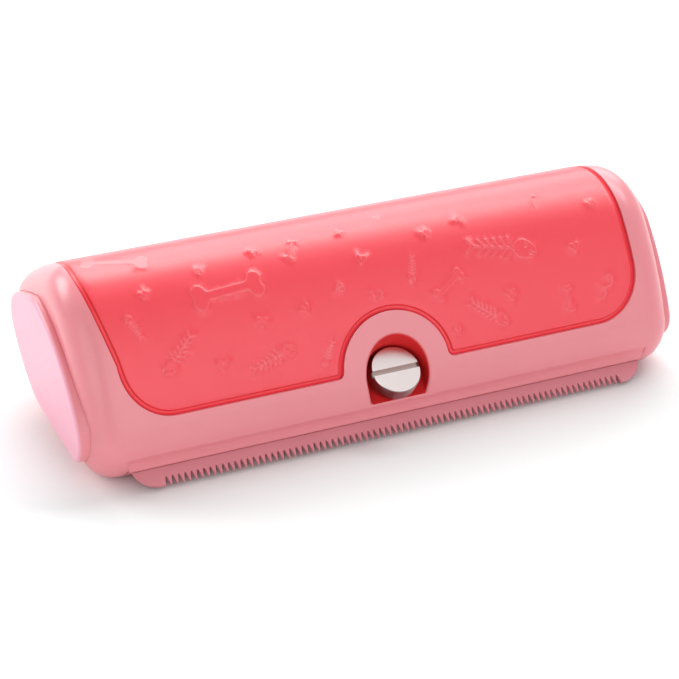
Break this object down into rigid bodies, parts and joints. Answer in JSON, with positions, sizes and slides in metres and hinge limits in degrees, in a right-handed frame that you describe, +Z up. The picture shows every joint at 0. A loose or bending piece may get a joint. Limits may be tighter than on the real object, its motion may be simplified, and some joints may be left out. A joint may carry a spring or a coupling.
{
  "type": "deshedding brush",
  "caption": "Palm-sized pet deshedding brush: a rounded bar with a soft grip cover, end plates and a fine comb blade clamped under its front lip by a knurled thumb screw.",
  "frame": {"origin": "middle of the footprint, on the surface that the brush rests on", "axes": "+X along the bar, +Y from the blade towards the back, +Z up"},
  "size_m": [0.152, 0.067, 0.0439],
  "materials": {
    "shell_plastic": "smooth satin pink moulding",
    "grip_rubber": "soft satin coral with low moulded motifs",
    "plate_plastic": "smooth satin pale pink",
    "blade_metal": "thin satin pink paint on steel",
    "screw_steel": "turned and knurled steel",
    "insert_brass": "machined"
  },
  "bodies": {
    "body": {"body_shell": "shell_plastic", "base_cover": "shell_plastic", "grip_cover": "grip_rubber", "left_end_plate": "plate_plastic", "right_end_plate": "plate_plastic", "threaded_insert": "insert_brass", "base_screw_1": "screw_steel", "base_screw_2": "screw_steel", "base_screw_3": "screw_steel", "base_screw_4": "screw_steel"},
    "blade": {"comb_blade": "blade_metal"},
    "washer": {"screw_washer": "screw_steel"},
    "screw": {"thumb_screw": "screw_steel"}
  },
  "joints": [
    {"name": "blade_slide", "type": "slide", "parent": "body", "child": "blade", "axis": [0, -0.8131, -0.5821], "range_m": [0, 0.011]},
    {"name": "screw_travel", "type": "slide", "parent": "body", "child": "washer", "axis": [0, -0.5821, 0.8131], "range_m": [0, 0.0021]},
    {"name": "screw_turn", "type": "hinge", "parent": "washer", "child": "screw", "pos_m": [0, -0.02612, 0.0122], "axis": [0, -0.5821, 0.8131], "range_deg": [0, 1080]}
  ],
  "couplings": [
    {"joint": "screw_turn", "follows": "screw_travel", "rad_per_m": 8976}
  ]
}
